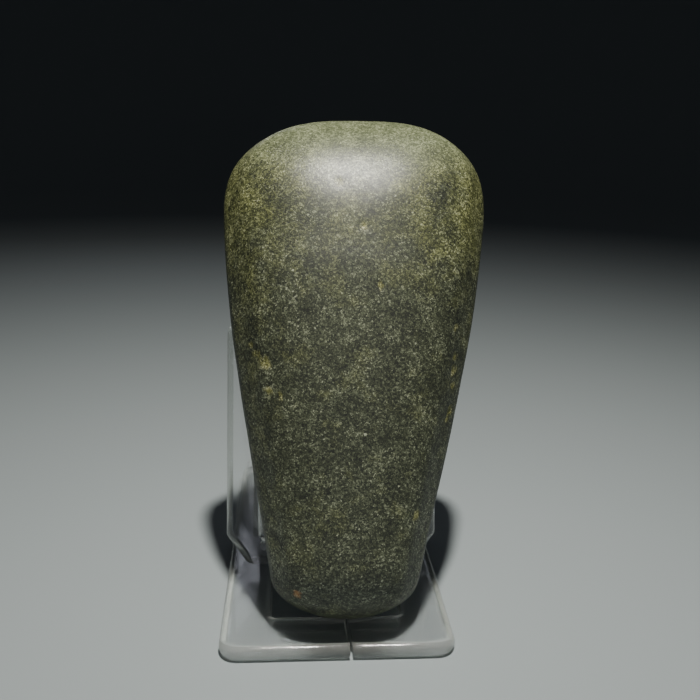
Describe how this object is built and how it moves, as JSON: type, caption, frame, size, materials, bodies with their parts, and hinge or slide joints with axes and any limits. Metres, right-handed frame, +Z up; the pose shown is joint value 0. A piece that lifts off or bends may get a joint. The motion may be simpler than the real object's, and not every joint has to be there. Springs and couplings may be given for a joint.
{
  "type": "polished stone axe head on display stand",
  "caption": "Polished stone axe head with a broad rounded bit and narrow butt, standing on its butt and leaning on a clear acrylic stand.",
  "frame": {"origin": "centre of the base plate's underside", "axes": "+X to the viewer's right, +Y away from the viewer, towards the rear of the stand, +Z up"},
  "size_m": [0.0712, 0.112, 0.1294],
  "materials": {
    "stone": "satin polish",
    "acrylic": "clear, polished"
  },
  "bodies": {
    "root": {"axe_head": "stone", "stand_base_plate": "acrylic", "stand_back_plate": "acrylic"}
  },
  "joints": []
}
